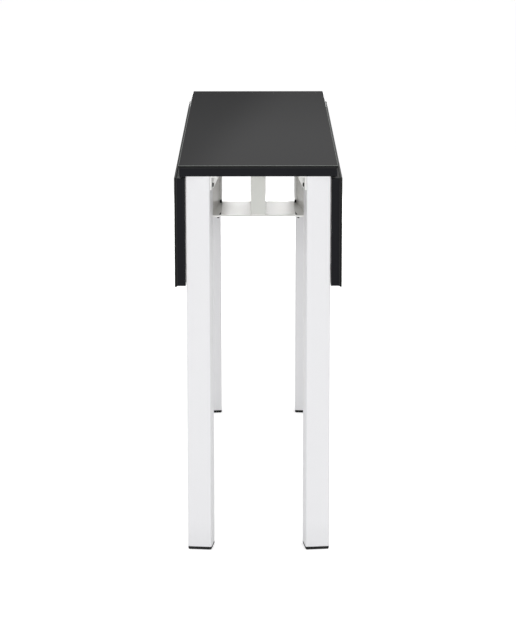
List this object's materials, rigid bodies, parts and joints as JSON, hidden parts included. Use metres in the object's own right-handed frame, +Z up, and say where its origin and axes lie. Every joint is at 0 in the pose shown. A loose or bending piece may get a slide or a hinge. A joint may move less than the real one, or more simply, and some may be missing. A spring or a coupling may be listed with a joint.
{
  "type": "drop-leaf table",
  "caption": "Narrow glass-topped table with hanging side leaves that fold up level with the top on fold-out support arms.",
  "frame": {"origin": "middle of the floor area under the table", "axes": "+Z up, +Y along the table towards the rear end, +X across it to the right, seen from the front end"},
  "size_m": [0.319, 1.1, 0.76],
  "materials": {
    "black_glass": "polished glass, opaque black behind",
    "black_bond": "matt black bond",
    "dark_panel": "board with a satin dark grey laminate",
    "white_leg": "satin white powder coat",
    "white_bracket": "satin white powder coat",
    "pale_frame": "satin pale grey powder coat",
    "black_foot": "moulded black plastic",
    "black_plastic": "moulded black plastic",
    "bumper_rubber": "soft black rubber",
    "black_screw": "blackened steel",
    "zinc_steel": "bright zinc plate",
    "nylon": "natural nylon"
  },
  "bodies": {
    "frame": {"top_glass": "black_glass", "top_bond": "black_bond", "top_panel": "dark_panel", "front_left_leg": "white_leg", "front_right_leg": "white_leg", "rear_left_leg": "white_leg", "rear_right_leg": "white_leg", "leg_plates": "white_leg", "front_left_foot": "black_foot", "front_right_foot": "black_foot", "rear_left_foot": "black_foot", "rear_right_foot": "black_foot", "centre_beam": "pale_frame", "beam_caps": "pale_frame", "front_cradle_floor": "pale_frame", "rear_cradle_floor": "pale_frame", "front_left_post": "white_bracket", "front_right_post": "white_bracket", "rear_left_post": "white_bracket", "rear_right_post": "white_bracket", "post_shoes": "black_plastic", "front_left_gusset": "pale_frame", "front_right_gusset": "pale_frame", "rear_left_gusset": "pale_frame", "rear_right_gusset": "pale_frame", "wedge_pads": "black_plastic", "flange_plugs": "black_plastic", "corner_brackets": "white_bracket", "leaf_bumpers": "bumper_rubber", "hinge_plates": "zinc_steel", "hinge_pins": "zinc_steel", "arm_studs": "zinc_steel", "arm_nuts": "zinc_steel", "hinge_plate_screws": "zinc_steel", "leg_plate_screws": "zinc_steel", "bracket_screws": "black_screw", "beam_screws": "zinc_steel", "gusset_bolts": "zinc_steel"},
    "left_leaf": {"left_leaf_glass": "black_glass", "left_leaf_bond": "black_bond", "left_leaf_panel": "dark_panel", "left_hinge_arms": "zinc_steel", "left_leaf_tracks": "zinc_steel", "left_leaf_screws": "zinc_steel"},
    "right_leaf": {"right_leaf_glass": "black_glass", "right_leaf_bond": "black_bond", "right_leaf_panel": "dark_panel", "right_hinge_arms": "zinc_steel", "right_leaf_tracks": "zinc_steel", "right_leaf_screws": "zinc_steel"},
    "front_left_support": {"front_left_arm": "zinc_steel", "front_left_glide": "nylon"},
    "front_right_support": {"front_right_arm": "zinc_steel", "front_right_glide": "nylon"},
    "rear_left_support": {"rear_left_arm": "zinc_steel", "rear_left_glide": "nylon"},
    "rear_right_support": {"rear_right_arm": "zinc_steel", "rear_right_glide": "nylon"}
  },
  "joints": [
    {"name": "left_leaf_fold", "type": "hinge", "parent": "frame", "child": "left_leaf", "pos_m": [-0.145, 0, 0.7455], "axis": [0, 1, 0], "range_deg": [0, 90]},
    {"name": "right_leaf_fold", "type": "hinge", "parent": "frame", "child": "right_leaf", "pos_m": [0.145, 0, 0.7455], "axis": [0, -1, 0], "range_deg": [0, 90]},
    {"name": "front_left_arm_swing", "type": "hinge", "parent": "frame", "child": "front_left_support", "pos_m": [-0.1225, -0.49327, 0.7], "axis": [0, 1, 0], "range_deg": [0, 103.1]},
    {"name": "front_right_arm_swing", "type": "hinge", "parent": "frame", "child": "front_right_support", "pos_m": [0.1225, -0.49327, 0.7], "axis": [0, -1, 0], "range_deg": [0, 103.1]},
    {"name": "rear_left_arm_swing", "type": "hinge", "parent": "frame", "child": "rear_left_support", "pos_m": [-0.1225, 0.49327, 0.7], "axis": [0, 1, 0], "range_deg": [0, 103.1]},
    {"name": "rear_right_arm_swing", "type": "hinge", "parent": "frame", "child": "rear_right_support", "pos_m": [0.1225, 0.49327, 0.7], "axis": [0, -1, 0], "range_deg": [0, 103.1]}
  ],
  "couplings": [
    {"joint": "front_left_arm_swing", "follows": "left_leaf_fold", "ratio": 1.1456},
    {"joint": "front_right_arm_swing", "follows": "right_leaf_fold", "ratio": 1.1456},
    {"joint": "rear_left_arm_swing", "follows": "left_leaf_fold", "ratio": 1.1456},
    {"joint": "rear_right_arm_swing", "follows": "right_leaf_fold", "ratio": 1.1456}
  ]
}
